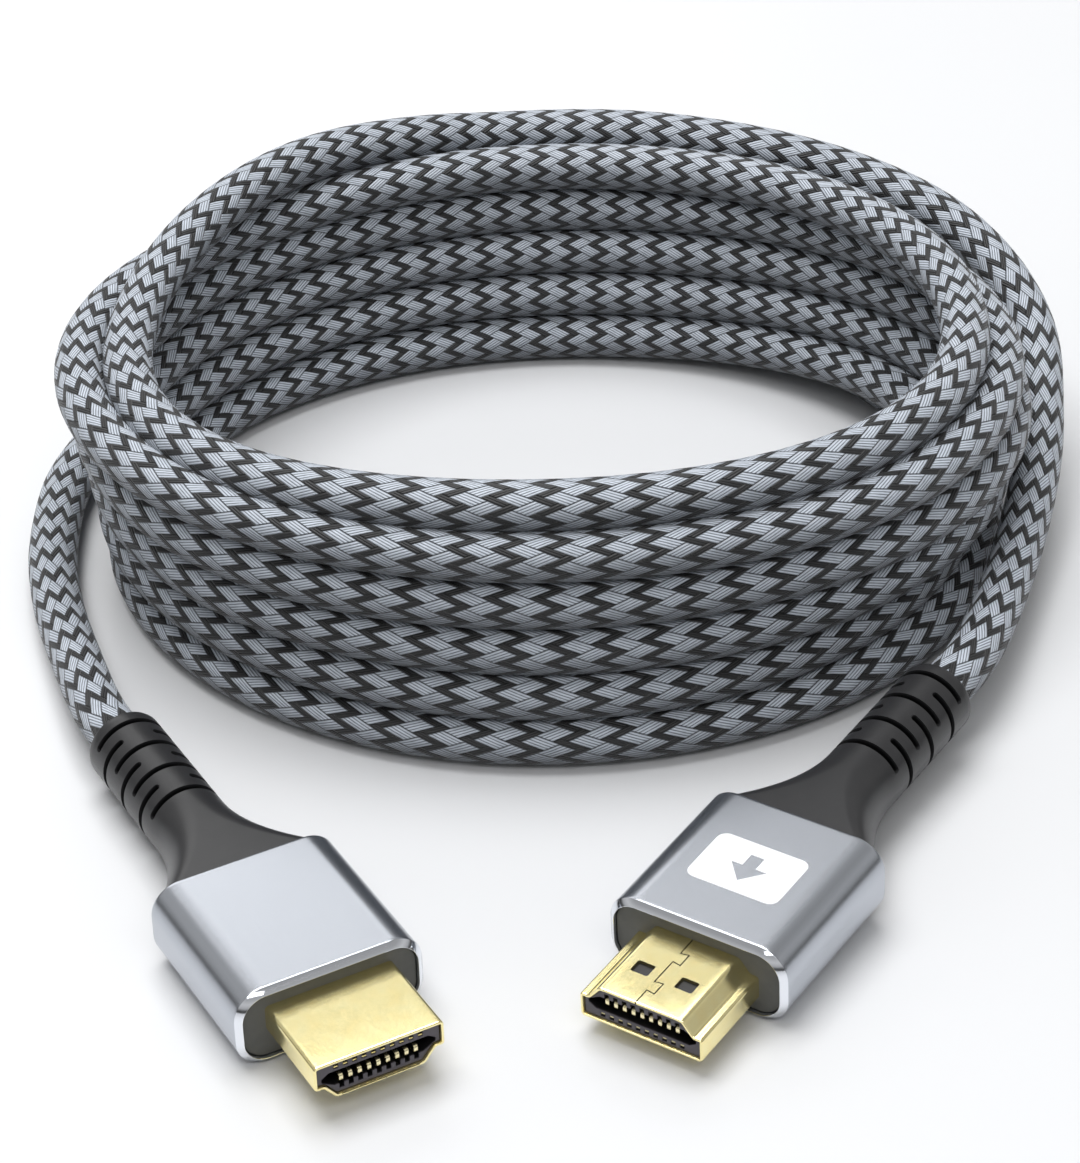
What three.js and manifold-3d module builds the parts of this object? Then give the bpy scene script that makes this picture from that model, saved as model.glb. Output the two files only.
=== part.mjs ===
// A braided audio and video cable lying in a tall coil, with a metal-bodied plug on each end.
// Millimetres, +Z up, the floor at z = 0, the two plugs towards -Y.
import * as THREE from "three";
import { mergeVertices } from "three/addons/utils/BufferGeometryUtils.js";
import Module from "manifold-3d";

// Running clearance between pieces that touch or pass through each other
const FIT_GAP = 0.3;

// Cable
const CABLE_DIAMETER = 5.4;
const CABLE_SIDES = 10;
const STEP_LENGTH = 13;

// Coil: radius of each turn's centre line, from the floor up, before the oval squeeze
const TURN_RADII = [49.8, 49.9, 50.4, 51.2, 52.6, 47.8];
const TURN_RISE = 5.4;
const COIL_OVAL = 0.88;
const COIL_SEGMENTS = 48;
const TURN_ARC_REACH = 60;
const TURN_ARC_STEP = 30;

// Plated shell: a broad face, upright sides, a small step and two ramps to the narrow face
const SHELL_WIDTH = 13.9;
const SHELL_HEIGHT = 4.45;
const SHELL_NARROW_WIDTH = 9.5;
const SHELL_STEP = 0.95;
const SHELL_SIDE_HEIGHT = 2.9;
const SHELL_REACH = 10.2;
const SHELL_TAIL = 1.5;
const SHELL_WALL = 0.35;
const SHELL_HOLE_WIDTH = 1.7;
const SHELL_HOLE_LENGTH = 1.5;
const SHELL_HOLE_SPACING = 5;
const SHELL_HOLE_SETBACK = 4.6;

// Metal body of a plug, sized by the margin that it leaves round the shell
const BODY_SIDE_MARGIN = 3.25;
const BODY_TOP_MARGIN = 2.275;
const HOUSING_WIDTH = SHELL_WIDTH + 2 * BODY_SIDE_MARGIN;
const HOUSING_HEIGHT = SHELL_HEIGHT + 2 * BODY_TOP_MARGIN;
const HOUSING_LENGTH = 20;
const HOUSING_CORNER = 3;
const HOUSING_WALL = 0.9;
const HOUSING_CHAMFER = 0.4;

// Plate that closes the mouth of the metal body
const PLATE_RECESS = 0.5;
const PLATE_THICKNESS = 3;

// Insulator inside the shell, with its tongue slot and a row of small holes
const CARRIER_RECESS = 0.25;
const CARRIER_LENGTH = 13;
const SLOT_WIDTH = 10.6;
const SLOT_TOP_WIDTH = 8.4;
const SLOT_HEIGHT = 1.7;
const SLOT_SHOULDER = 0.75;
const SLOT_DEPTH = 7;
const PORT_SIZE = 0.4;
const PORT_DEPTH = 3;
const PORT_DROP = 1.2;

// Contacts: two rows in the tongue slot, half a pitch apart
const CONTACT_PITCH = 1;
const BROAD_SIDE_CONTACTS = 10;
const NARROW_SIDE_CONTACTS = 9;
const CONTACT_WIDTH = 0.45;
const CONTACT_THICKNESS = 0.2;
const CONTACT_LENGTH = 5.5;
const CONTACT_SETBACK = 0.5;

// Moulded strain relief: spigot in the metal body, flared neck, slotted sleeve
const RELIEF_DIAMETER = 8.4;
const SPIGOT_LENGTH = 6;
const SPIGOT_BITE = 0.25;
const NECK_LENGTH = 13;
const NECK_MOUTH_WIDTH = 18.6;
const NECK_EDGE_RADIUS = 2.8;
const NECK_FLARE = 2;
const NECK_RINGS = 6;
const SLEEVE_LENGTH = 17;
const SLEEVE_SIDES = 24;
const SLEEVE_SLOTS = 7;
const SLEEVE_SLOT_PITCH = 2.3;
const SLEEVE_SLOT_WIDTH = 0.8;
const SLEEVE_SLOT_DEPTH = 1.6;

// Where each plug lies: middle of the metal body's mouth, seen from above the middle of the coil
const RIGHT_PLUG = { x: 12.1, y: -85.8, turn: -34.3, lift: 2, flip: 0 };
const LEFT_PLUG = { x: -23.4, y: -90.5, turn: 28.2, lift: 0, flip: 180 };

// Free stretches of the cable, from beside the coil's far side round to the plugs
const RIGHT_ROUTE = [
  [-8, 51.4, 26.9], [0, 51.8, 26.8], [10, 50.9, 26.9], [19.5, 48.9, 26.6], [28.7, 46.3, 25.8],
  [37.7, 43.8, 24], [46.6, 40.4, 21.2], [52.2, 36.8, 18.9], [56.4, 31.8, 16.6], [59.2, 26, 14.2],
  [60.6, 19.5, 11.6], [60.6, 12, 9], [59.6, 4, 6.8], [57, -5, 5.6], [52.8, -16.2, 5.2],
  [46.8, -29.6, 5.6],
];
const LEFT_ROUTE = [
  [-6, 48.9, 2.7], [-20, 46.6, 2.7], [-34, 41.6, 2.7], [-44.5, 35, 2.7], [-52, 26.5, 2.7],
  [-56.3, 17, 2.7], [-58.4, 9, 2.7], [-58.9, 1, 2.7], [-58.7, -5, 2.7], [-57.6, -11.5, 2.7],
  [-55.9, -18, 2.8], [-53.1, -26.5, 3.2],
];

const cableRadius = CABLE_DIAMETER / 2;
const reliefRadius = RELIEF_DIAMETER / 2;
const plugLength = HOUSING_LENGTH + NECK_LENGTH + SLEEVE_LENGTH;
const degrees = THREE.MathUtils.degToRad;

const materials = {
  braid: new THREE.MeshStandardMaterial({ color: 0x7d8189, roughness: 0.65, metalness: 0.1 }),
  aluminium: new THREE.MeshStandardMaterial({ color: 0xb9bcc6, roughness: 0.3, metalness: 1 }),
  gold: new THREE.MeshStandardMaterial({ color: 0xe2b54c, roughness: 0.2, metalness: 1 }),
  rubber: new THREE.MeshStandardMaterial({ color: 0x2e2f33, roughness: 0.55, metalness: 0 }),
  insulator: new THREE.MeshStandardMaterial({ color: 0x1d1c20, roughness: 0.5, metalness: 0 }),
};

const manifold = await Module();
manifold.setup();

function toSolid(geometry) {
  const bare = geometry.clone();
  bare.deleteAttribute("normal");
  bare.deleteAttribute("uv");
  const merged = mergeVertices(bare, 1e-4);
  const mesh = new manifold.Mesh({
    numProp: 3,
    vertProperties: Float32Array.from(merged.attributes.position.array),
    triVerts: Uint32Array.from(merged.index.array),
  });
  return new manifold.Manifold(mesh);
}

function toGeometry(solid) {
  const mesh = solid.getMesh();
  const geometry = new THREE.BufferGeometry();
  geometry.setAttribute("position", new THREE.BufferAttribute(mesh.vertProperties, mesh.numProp));
  geometry.setIndex(new THREE.BufferAttribute(mesh.triVerts, 1));
  const flat = geometry.toNonIndexed();
  flat.computeVertexNormals();
  return flat;
}

function subtractAll(geometry, cutters) {
  return toGeometry(cutters.reduce((solid, cutter) => solid.subtract(toSolid(cutter)), toSolid(geometry)));
}

function box(width, length, height, x, y, z) {
  return new THREE.BoxGeometry(width, length, height).translate(x, y, z);
}

function roundedRectangle(width, height, corner) {
  const shape = new THREE.Shape();
  const x = width / 2 - corner;
  const y = height / 2 - corner;
  shape.absarc(x, y, corner, 0, Math.PI / 2);
  shape.absarc(-x, y, corner, Math.PI / 2, Math.PI);
  shape.absarc(-x, -y, corner, Math.PI, 1.5 * Math.PI);
  shape.absarc(x, -y, corner, 1.5 * Math.PI, 2 * Math.PI);
  shape.closePath();
  return shape;
}

// Outline of the shell seen from the front, moved inwards by an inset, narrow face up
function shellOutline(inset) {
  const side = SHELL_WIDTH / 2 - inset;
  const narrow = SHELL_NARROW_WIDTH / 2 - inset / 2;
  const step = SHELL_WIDTH / 2 - SHELL_STEP - inset;
  const bottom = inset - SHELL_HEIGHT / 2;
  const top = SHELL_HEIGHT / 2 - inset;
  const shoulder = SHELL_SIDE_HEIGHT - SHELL_HEIGHT / 2 - inset;
  return [
    [-side, bottom], [side, bottom], [side, shoulder], [step, shoulder],
    [narrow, top], [-narrow, top], [-step, shoulder], [-side, shoulder],
  ].map(([x, y]) => new THREE.Vector2(x, y));
}

// Extrudes an outline that faces the front, from one distance behind the mouth to another
function extrudeAlongPlug(shape, from, to, options = {}) {
  const bevel = options.bevelThickness ?? 0;
  const settings = { depth: to - from - 2 * bevel, bevelEnabled: bevel > 0, curveSegments: 6, ...options };
  const geometry = new THREE.ExtrudeGeometry(shape, settings);
  geometry.translate(0, 0, bevel - to);
  return geometry.rotateX(Math.PI / 2);
}

function makeHousing() {
  const shape = roundedRectangle(HOUSING_WIDTH, HOUSING_HEIGHT, HOUSING_CORNER);
  const innerWidth = HOUSING_WIDTH - 2 * HOUSING_WALL;
  const innerHeight = HOUSING_HEIGHT - 2 * HOUSING_WALL;
  shape.holes.push(roundedRectangle(innerWidth, innerHeight, HOUSING_CORNER - HOUSING_WALL));
  const size = HOUSING_CHAMFER;
  const bevel = { bevelThickness: size, bevelSize: size, bevelOffset: -size, bevelSegments: 1 };
  return extrudeAlongPlug(shape, 0, HOUSING_LENGTH, bevel);
}

function cavityOutline() {
  const inset = 2 * (HOUSING_WALL + FIT_GAP);
  return roundedRectangle(HOUSING_WIDTH - inset, HOUSING_HEIGHT - inset, HOUSING_CORNER - inset / 2);
}

function makeFacePlate() {
  const shape = cavityOutline();
  shape.holes.push(new THREE.Path(shellOutline(-FIT_GAP)));
  return extrudeAlongPlug(shape, PLATE_RECESS, PLATE_RECESS + PLATE_THICKNESS);
}

function makeShell() {
  const shape = new THREE.Shape(shellOutline(0));
  shape.holes.push(new THREE.Path(shellOutline(SHELL_WALL)));
  const tube = extrudeAlongPlug(shape, -SHELL_REACH, PLATE_RECESS + PLATE_THICKNESS + SHELL_TAIL);
  const holes = [-1, 1].map((side) => box(
    SHELL_HOLE_WIDTH, SHELL_HOLE_LENGTH, SHELL_HEIGHT / 2,
    side * SHELL_HOLE_SPACING / 2, -SHELL_REACH + SHELL_HOLE_SETBACK, SHELL_HEIGHT / 2,
  ));
  return subtractAll(tube, holes);
}

// Outline of the tongue slot, narrower towards the narrow face as the shell is
function slotOutline() {
  const bottom = -SLOT_HEIGHT / 2;
  const top = SLOT_HEIGHT / 2;
  const shoulder = bottom + SLOT_SHOULDER;
  return [
    [-SLOT_WIDTH / 2, bottom], [SLOT_WIDTH / 2, bottom], [SLOT_WIDTH / 2, shoulder],
    [SLOT_TOP_WIDTH / 2, top], [-SLOT_TOP_WIDTH / 2, top], [-SLOT_WIDTH / 2, shoulder],
  ].map(([x, y]) => new THREE.Vector2(x, y));
}

function makeCarrier() {
  const front = -SHELL_REACH + CARRIER_RECESS;
  const outline = new THREE.Shape(shellOutline(SHELL_WALL + FIT_GAP));
  const body = extrudeAlongPlug(outline, front, front + CARRIER_LENGTH);
  const slot = extrudeAlongPlug(new THREE.Shape(slotOutline()), front - SLOT_DEPTH, front + SLOT_DEPTH);
  const ports = contactPlaces(BROAD_SIDE_CONTACTS).map((x) => box(
    PORT_SIZE, 2 * PORT_DEPTH, PORT_SIZE, x, front, -PORT_DROP,
  ));
  return subtractAll(body, [slot, ...ports]);
}

function contactPlaces(count) {
  return Array.from({ length: count }, (_, index) => (index - (count - 1) / 2) * CONTACT_PITCH);
}

function makeContact(x, side) {
  const front = -SHELL_REACH + CARRIER_RECESS + CONTACT_SETBACK;
  const height = side * (SLOT_HEIGHT / 2 - FIT_GAP - CONTACT_THICKNESS / 2);
  return box(CONTACT_WIDTH, CONTACT_LENGTH, CONTACT_THICKNESS, x, front + CONTACT_LENGTH / 2, height);
}

// A round bar whose first rings are drawn out into the flat, flared neck behind the metal body
function makeNeckAndSleeve() {
  const ringCount = NECK_RINGS + 1;
  const bar = new THREE.CylinderGeometry(1, 1, ringCount, SLEEVE_SIDES, ringCount);
  bar.translate(0, ringCount / 2, 0);
  const neckStart = HOUSING_LENGTH + FIT_GAP;
  const ringSpacing = (NECK_LENGTH - FIT_GAP) / NECK_RINGS;
  const point = new THREE.Vector3();
  for (let index = 0; index < bar.attributes.position.count; index += 1) {
    point.fromBufferAttribute(bar.attributes.position, index);
    const ring = Math.round(point.y);
    const flare = (1 - Math.min(ring / NECK_RINGS, 1)) ** NECK_FLARE;
    const width = THREE.MathUtils.lerp(reliefRadius, NECK_MOUTH_WIDTH / 2, flare);
    const corner = THREE.MathUtils.lerp(reliefRadius, NECK_EDGE_RADIUS, flare);
    const x = Math.abs(point.x) < 1e-6 ? 0 : Math.sign(point.x) * (width - corner) + corner * point.x;
    const z = Math.abs(point.z) < 1e-6 ? 0 : Math.sign(point.z) * (reliefRadius - corner) + corner * point.z;
    const y = ring > NECK_RINGS ? plugLength : neckStart + ring * ringSpacing;
    bar.attributes.position.setXYZ(index, x, y, z);
  }
  return bar;
}

function makeStrainRelief() {
  const spigotEnd = HOUSING_LENGTH + FIT_GAP + SPIGOT_BITE;
  const spigot = extrudeAlongPlug(cavityOutline(), HOUSING_LENGTH - SPIGOT_LENGTH, spigotEnd);
  const joined = toSolid(makeNeckAndSleeve()).add(toSolid(spigot));
  return subtractAll(toGeometry(joined), sleeveSlots());
}

// Slots across the top and bottom of the sleeve, and between them slots across its sides
function sleeveSlots() {
  const slots = [];
  const firstSlot = HOUSING_LENGTH + NECK_LENGTH + SLEEVE_SLOT_PITCH / 2;
  const offset = reliefRadius - SLEEVE_SLOT_DEPTH / 2;
  const reach = SLEEVE_SLOT_DEPTH;
  for (let index = 0; index < SLEEVE_SLOTS; index += 1) {
    const y = firstSlot + index * SLEEVE_SLOT_PITCH;
    for (const side of [-1, 1]) {
      slots.push(index % 2 === 0
        ? box(RELIEF_DIAMETER, SLEEVE_SLOT_WIDTH, reach, 0, y, side * offset)
        : box(reach, SLEEVE_SLOT_WIDTH, RELIEF_DIAMETER, side * offset, y, 0));
    }
  }
  return slots;
}

// Outline of the stacked turns in the plane through the axis, each turn bulging on both sides
function coilProfile() {
  const centres = TURN_RADII.map((radius, turn) => new THREE.Vector2(radius, cableRadius + turn * TURN_RISE));
  const leans = centres.slice(1).map((centre, index) => {
    const rise = centre.clone().sub(centres[index]);
    return THREE.MathUtils.radToDeg(Math.atan2(rise.y, rise.x));
  });
  const inner = 90 - TURN_ARC_REACH;
  const outer = 90 + TURN_ARC_REACH;
  const points = [];
  const addArc = (centre, from, to) => {
    const steps = Math.round((to - from) / TURN_ARC_STEP);
    for (let step = 0; step <= steps; step += 1) {
      const angle = degrees(from + (to - from) * step / steps);
      const offset = new THREE.Vector2(Math.cos(angle), Math.sin(angle)).multiplyScalar(cableRadius);
      points.push(offset.add(centre));
    }
  };
  const top = centres.length - 1;
  addArc(centres[0], leans[0] + inner, leans[0] + 360 - inner);
  for (let turn = 1; turn < top; turn += 1) {
    addArc(centres[turn], leans[turn - 1] - outer, leans[turn] - inner);
  }
  addArc(centres[top], leans[top - 1] - outer, leans[top - 1] + outer);
  for (let turn = top - 1; turn > 0; turn -= 1) {
    addArc(centres[turn], leans[turn] + inner, leans[turn - 1] + outer);
  }
  points.push(points[0].clone());
  return points;
}

function makeCoil() {
  return new THREE.LatheGeometry(coilProfile(), COIL_SEGMENTS).rotateX(Math.PI / 2).scale(1, COIL_OVAL, 1);
}

function makeLead(plug, route) {
  const end = new THREE.Vector3(0, plugLength + FIT_GAP, 0);
  const before = new THREE.Vector3(0, plugLength + 2 * CABLE_DIAMETER, 0);
  const points = route.map(([x, y, z]) => new THREE.Vector3(x, y, z));
  points.push(plug.localToWorld(before), plug.localToWorld(end));
  const path = new THREE.CatmullRomCurve3(points);
  const section = new THREE.Shape(Array.from({ length: CABLE_SIDES }, (_, index) => {
    const angle = 2 * Math.PI * index / CABLE_SIDES;
    return new THREE.Vector2(cableRadius * Math.cos(angle), cableRadius * Math.sin(angle));
  }));
  const steps = Math.round(path.getLength() / STEP_LENGTH);
  return new THREE.ExtrudeGeometry(section, { steps, extrudePath: path });
}

function addMesh(parent, name, geometry, material) {
  const mesh = new THREE.Mesh(geometry, material);
  mesh.name = name;
  parent.add(mesh);
}

function makePlug(side, place) {
  const plug = new THREE.Group();
  const lift = degrees(place.lift);
  plug.rotation.set(lift, degrees(place.flip), degrees(place.turn), "ZXY");
  plug.position.set(place.x, place.y, Math.cos(lift) * HOUSING_HEIGHT / 2);
  addMesh(plug, `${side}_housing`, makeHousing(), materials.aluminium);
  addMesh(plug, `${side}_face_plate`, makeFacePlate(), materials.insulator);
  addMesh(plug, `${side}_shell`, makeShell(), materials.gold);
  addMesh(plug, `${side}_contact_carrier`, makeCarrier(), materials.insulator);
  addMesh(plug, `${side}_strain_relief`, makeStrainRelief(), materials.rubber);
  const rows = [["broad", -1, BROAD_SIDE_CONTACTS], ["narrow", 1, NARROW_SIDE_CONTACTS]];
  for (const [row, direction, count] of rows) {
    contactPlaces(count).forEach((x, index) => {
      addMesh(plug, `${side}_contact_${row}_${index + 1}`, makeContact(x, direction), materials.gold);
    });
  }
  plug.updateMatrixWorld(true);
  return plug;
}

const rightPlug = makePlug("right", RIGHT_PLUG);
const leftPlug = makePlug("left", LEFT_PLUG);

const layout = new THREE.Group();
layout.add(rightPlug, leftPlug);
addMesh(layout, "coil", makeCoil(), materials.braid);
addMesh(layout, "lead_right", makeLead(rightPlug, RIGHT_ROUTE), materials.braid);
addMesh(layout, "lead_left", makeLead(leftPlug, LEFT_ROUTE), materials.braid);

// The origin is under the middle of everything, on the floor
const bounds = new THREE.Box3().setFromObject(layout, true);
const middle = bounds.getCenter(new THREE.Vector3());
layout.position.set(-middle.x, -middle.y, -bounds.min.z);

const cable = new THREE.Group();
cable.add(layout);

export default cable;
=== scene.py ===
import math

import bmesh
import bpy
import numpy as np
from mathutils import Matrix, Vector


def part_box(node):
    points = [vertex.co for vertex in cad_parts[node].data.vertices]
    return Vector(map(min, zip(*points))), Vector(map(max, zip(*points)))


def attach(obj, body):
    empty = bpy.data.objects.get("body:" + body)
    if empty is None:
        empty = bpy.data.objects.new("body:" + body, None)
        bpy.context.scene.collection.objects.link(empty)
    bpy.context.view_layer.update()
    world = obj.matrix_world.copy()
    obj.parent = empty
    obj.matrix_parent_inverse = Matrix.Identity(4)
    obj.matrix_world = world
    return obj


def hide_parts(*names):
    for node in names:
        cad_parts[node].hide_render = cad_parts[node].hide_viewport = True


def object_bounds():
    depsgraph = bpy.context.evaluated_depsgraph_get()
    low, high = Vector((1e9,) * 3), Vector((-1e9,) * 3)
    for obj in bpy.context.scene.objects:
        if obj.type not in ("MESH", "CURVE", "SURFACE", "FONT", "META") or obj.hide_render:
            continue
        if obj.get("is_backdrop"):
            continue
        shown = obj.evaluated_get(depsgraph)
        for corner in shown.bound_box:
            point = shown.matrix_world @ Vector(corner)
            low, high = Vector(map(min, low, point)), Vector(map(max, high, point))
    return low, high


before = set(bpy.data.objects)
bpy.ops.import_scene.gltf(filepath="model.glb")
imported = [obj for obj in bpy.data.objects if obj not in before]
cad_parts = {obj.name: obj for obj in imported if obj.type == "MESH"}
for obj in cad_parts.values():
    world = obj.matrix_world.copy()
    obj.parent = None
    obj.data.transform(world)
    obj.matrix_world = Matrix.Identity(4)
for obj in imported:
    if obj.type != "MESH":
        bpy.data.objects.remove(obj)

CAD_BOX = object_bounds()
MM = 0.001

# The coil's middle on the floor is the origin of every place given below, in millimetres.
coil_low, coil_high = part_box("coil")
ORIGIN = Vector(((coil_low[0] + coil_high[0]) / 2, (coil_low[1] + coil_high[1]) / 2, 0))

# Sizes, in millimetres.

# The braid stands proud of the 5.4 mm tube that the route was laid for, so the cable is lifted as much.
CABLE_DIAMETER = 5.7
CABLE_LIFT = 0.15
CABLE_RINGS = 1150
CABLE_SIDES = 20
BRAID_REPEAT = 4.65
BRAID_PAIRS = 9
# Stretch of the braid's repeat at the coil's middle, and how much less it is per millimetre further back.
BRAID_PULL = (0.93, 0.0026)

HOUSING_WIDTH = 20.4
HOUSING_HEIGHT = 9.0
HOUSING_LENGTH = 20.0
HOUSING_CORNER = 3.3
HOUSING_CHAMFER = 0.62

SHELL_WIDTH = 13.9
SHELL_HEIGHT = 4.45
SHELL_NARROW_WIDTH = 9.5
SHELL_STEP = 0.95
SHELL_SIDE_HEIGHT = 2.9
SHELL_REACH = 10.2
SHELL_BACK = 5.0
SHELL_WALL = 0.35

NECK_START = 20.3
NECK_END = 33.0
SLEEVE_END = 50.0
SLEEVE_DIAMETER = 8.4

# A plug's own frame has its nose along -Y, its cable along +Y and its narrow shell face up.
RIGHT_PLUG = {"x": 12.1, "y": -85.8, "turn": -34.3, "lift": 2.0, "flip": 0.0}
LEFT_PLUG = {"x": -23.4, "y": -90.5, "turn": 28.2, "lift": 0.0, "flip": 180.0}


def plug_matrix(place):
    lift = math.radians(place["lift"])
    spot = Vector((place["x"], place["y"], math.cos(lift) * HOUSING_HEIGHT / 2)) * MM + ORIGIN
    return (Matrix.Translation(spot)
            @ Matrix.Rotation(math.radians(place["turn"]), 4, "Z")
            @ Matrix.Rotation(lift, 4, "X")
            @ Matrix.Rotation(math.radians(place["flip"]), 4, "Y"))


PLUGS = {"right": plug_matrix(RIGHT_PLUG), "left": plug_matrix(LEFT_PLUG)}

# Camera.

FOCAL_PIXELS = 3639.69
PHOTO_HEIGHT = 1163
SENSOR_SIZE = 36
CAMERA_TILT = 33.362
CAMERA_ROLL = -1.767
CAMERA_SPOT = (-2.0, -363.457, 232.485)

camera = bpy.data.objects.new("camera", bpy.data.cameras.new("camera"))
camera.data.sensor_width = SENSOR_SIZE
camera.data.lens = FOCAL_PIXELS * SENSOR_SIZE / PHOTO_HEIGHT
camera.data.clip_start = 0.01
camera.matrix_world = (Matrix.Translation(Vector(CAMERA_SPOT) * MM + ORIGIN)
                       @ Matrix.Rotation(math.radians(90 - CAMERA_TILT), 4, "X")
                       @ Matrix.Rotation(math.radians(CAMERA_ROLL), 4, "Z"))
bpy.context.scene.collection.objects.link(camera)
bpy.context.scene.camera = camera
bpy.context.scene.view_settings.view_transform = "Standard"

# Node helpers.


class Graph:
    """A material's nodes, with short calls for the arithmetic that patterns need."""

    def __init__(self, name):
        self.material = bpy.data.materials.new(name)
        self.material.use_nodes = True
        self.tree = self.material.node_tree
        self.shader = self.tree.nodes["Principled BSDF"]

    def node(self, kind, **settings):
        made = self.tree.nodes.new(kind)
        for key, value in settings.items():
            setattr(made, key, value)
        return made

    def plug(self, value, socket):
        if isinstance(value, bpy.types.NodeSocket):
            self.tree.links.new(value, socket)
        else:
            socket.default_value = value

    def math(self, operation, *values):
        made = self.node("ShaderNodeMath", operation=operation)
        for value, socket in zip(values, made.inputs):
            self.plug(value, socket)
        return made.outputs[0]

    def pick(self, test, when_true, when_false):
        return self.mix_value(test, when_false, when_true)

    def mix_value(self, factor, low, high):
        made = self.node("ShaderNodeMix", data_type="FLOAT")
        for value, socket in zip((factor, low, high), made.inputs[:1] + made.inputs[2:4]):
            self.plug(value, socket)
        return made.outputs[0]

    def mix_color(self, factor, low, high):
        made = self.node("ShaderNodeMix", data_type="RGBA")
        for value, socket in zip((factor, low, high), (made.inputs[0], made.inputs[6], made.inputs[7])):
            self.plug(value, socket)
        return made.outputs[2]

    def noise(self, scale, detail, stretch=None):
        place = self.node("ShaderNodeTexCoord").outputs["Object"]
        if stretch:
            mapping = self.node("ShaderNodeMapping")
            mapping.inputs["Scale"].default_value = stretch
            self.plug(place, mapping.inputs["Vector"])
            place = mapping.outputs[0]
        made = self.node("ShaderNodeTexNoise")
        self.plug(place, made.inputs["Vector"])
        made.inputs["Scale"].default_value = scale
        made.inputs["Detail"].default_value = detail
        return made.outputs[0]

    def ramp(self, value, start, end, first, last):
        """The value carried smoothly from the span start..end to first..last."""
        made = self.node("ShaderNodeMapRange", interpolation_type="SMOOTHSTEP")
        for number, socket in zip((value, start, end, first, last), made.inputs[:5]):
            self.plug(number, socket)
        return made.outputs[0]

    def axes(self, kind):
        """The x, y and z of a texture coordinate such as Object or Normal."""
        split = self.node("ShaderNodeSeparateXYZ")
        self.plug(self.node("ShaderNodeTexCoord").outputs[kind], split.inputs[0])
        return split.outputs

    def bump(self, height, distance, strength):
        made = self.node("ShaderNodeBump")
        self.plug(height, made.inputs["Height"])
        made.inputs["Distance"].default_value = distance
        made.inputs["Strength"].default_value = strength
        return made.outputs[0]

    def set(self, **values):
        for key, value in values.items():
            self.plug(value, self.shader.inputs[key.replace("_", " ")])


def rgb(red, green, blue):
    """A colour given as screen values from 0 to 255, as the linear colour that nodes take."""
    linear = [v / 255 / 12.92 if v <= 10 else ((v / 255 + 0.055) / 1.055) ** 2.4 for v in (red, green, blue)]
    return (*linear, 1)


# Materials.

# Share of a pair of strands, out of 2, that the wide grey one takes.
GREY_SHARE = 1.32
BLACK_FILAMENTS = 2.0
GREY_FILAMENTS = 4.0
# Span of the surface normal's upward part over which the braid goes from dark to full brightness.
BRAID_SHADE = (-0.65, 0.7)
UNDERSIDE_LEVEL = 0.3
BRAID_RELIEF = 0.00028
# How steeply a strand dives at its crossings, how much painted shade it takes there, and how far its filaments stand
# out.
CROSSING_STEEPNESS = 4.5
CROSSING_SHADE = 0.3
FILAMENT_RELIEF = 0.22
# In metres, on the sleeve: distance from its axis inside which a slot is painted dark as shade, and to which it
# fades.
SLOT_DARK = 0.0037
SLOT_LIGHT = 0.00412
SLOTS_START = 0.0335
# In metres along a plug: where the carrier's face ends and the painted shade of the dark inside begins.
CARRIER_SKIN = -0.0099
CARRIER_INSIDE = -0.0097


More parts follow.
